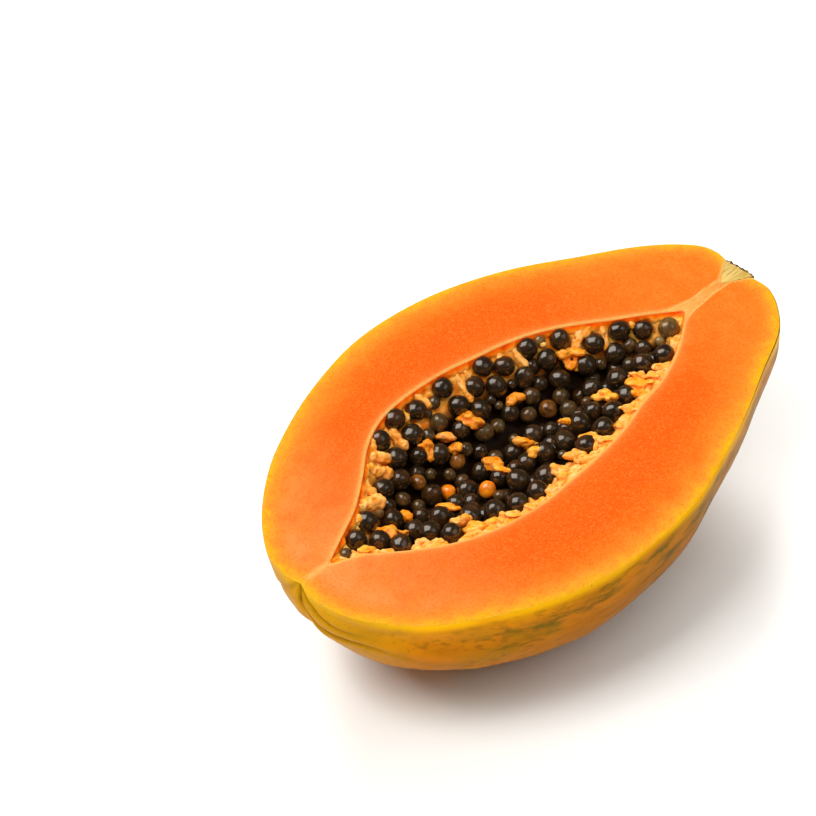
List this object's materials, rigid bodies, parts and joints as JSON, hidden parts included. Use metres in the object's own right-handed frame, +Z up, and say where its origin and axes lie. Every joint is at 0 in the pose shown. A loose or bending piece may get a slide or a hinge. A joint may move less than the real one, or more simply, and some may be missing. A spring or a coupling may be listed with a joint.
{
  "type": "papaya half",
  "caption": "Half of a ripe papaya cut lengthwise, lying on its skin with the orange cut face and the dark seeds in their hollow facing up.",
  "frame": {"origin": "middle of the box on the plane that the fruit rests on, on the flattened spot of its belly", "axes": "+X along the fruit towards the stem, +Y across the cut face, +Z up out of the cut face"},
  "size_m": [0.19, 0.1272, 0.0634],
  "materials": {
    "flesh": "moist orange flesh with a fine grain, under a thin satin golden ochre skin",
    "stalk": "pale green-yellow fibres with a torn brown end",
    "seed": "wet and glossy, brown-black under a clear skin"
  },
  "bodies": {
    "root": {"rind_and_flesh": "flesh", "stem_stub": "stalk", "seed_01": "seed", "seed_02": "seed", "seed_03": "seed", "seed_04": "seed", "seed_05": "seed", "seed_06": "seed", "seed_07": "seed", "seed_08": "seed", "seed_09": "seed", "seed_10": "seed", "seed_11": "seed", "seed_12": "seed", "seed_13": "seed", "seed_14": "seed", "seed_15": "seed", "seed_16": "seed", "seed_17": "seed", "seed_18": "seed", "seed_19": "seed", "seed_20": "seed", "seed_21": "seed", "seed_22": "seed", "seed_23": "seed", "seed_24": "seed", "seed_25": "seed", "seed_26": "seed", "seed_27": "seed", "seed_28": "seed", "seed_29": "seed", "seed_30": "seed", "seed_31": "seed", "seed_32": "seed", "seed_33": "seed", "seed_34": "seed", "seed_35": "seed", "seed_36": "seed", "seed_37": "seed", "seed_38": "seed", "seed_39": "seed", "seed_40": "seed", "seed_41": "seed", "seed_42": "seed", "seed_43": "seed", "seed_44": "seed", "seed_45": "seed", "seed_46": "seed", "seed_47": "seed", "seed_48": "seed", "seed_49": "seed", "seed_50": "seed", "seed_51": "seed", "seed_52": "seed", "seed_53": "seed", "seed_54": "seed", "seed_55": "seed"}
  },
  "joints": []
}
